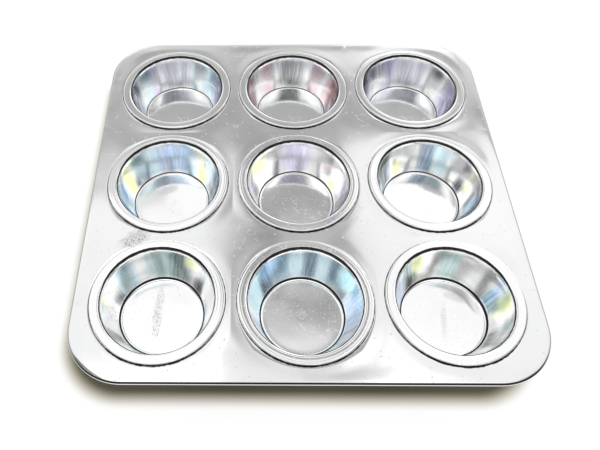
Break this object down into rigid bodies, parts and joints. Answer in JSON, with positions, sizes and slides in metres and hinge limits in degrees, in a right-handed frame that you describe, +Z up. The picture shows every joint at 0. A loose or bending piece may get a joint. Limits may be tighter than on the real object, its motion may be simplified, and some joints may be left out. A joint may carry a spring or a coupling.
{
  "type": "muffin pan",
  "caption": "Square muffin pan with round corners: drawn tapered cups seamed into a flat tinplate deck whose edge is rolled over a wire, for baking muffins and small cakes.",
  "frame": {"origin": "on the surface that the pan stands on, under the centre of the middle cup", "axes": "+Z up, out of the cups' mouths; +Y from the front row to the back row; +X to the right"},
  "size_m": [0.278, 0.278, 0.0259],
  "materials": {
    "deck_tin": "bright tinplate sheet, faintly wavy, with fine rubbed scratches",
    "cup_tin": "bright drawn tinplate, with fine draw lines up the wall and a scuffed floor",
    "rim_steel": "plain drawn steel wire"
  },
  "bodies": {
    "root": {"deck_sheet": "deck_tin", "rim_wire": "rim_steel", "cup_back_left": "cup_tin", "cup_back_centre": "cup_tin", "cup_back_right": "cup_tin", "cup_middle_left": "cup_tin", "cup_middle_centre": "cup_tin", "cup_middle_right": "cup_tin", "cup_front_left": "cup_tin", "cup_front_centre": "cup_tin", "cup_front_right": "cup_tin"}
  },
  "joints": []
}
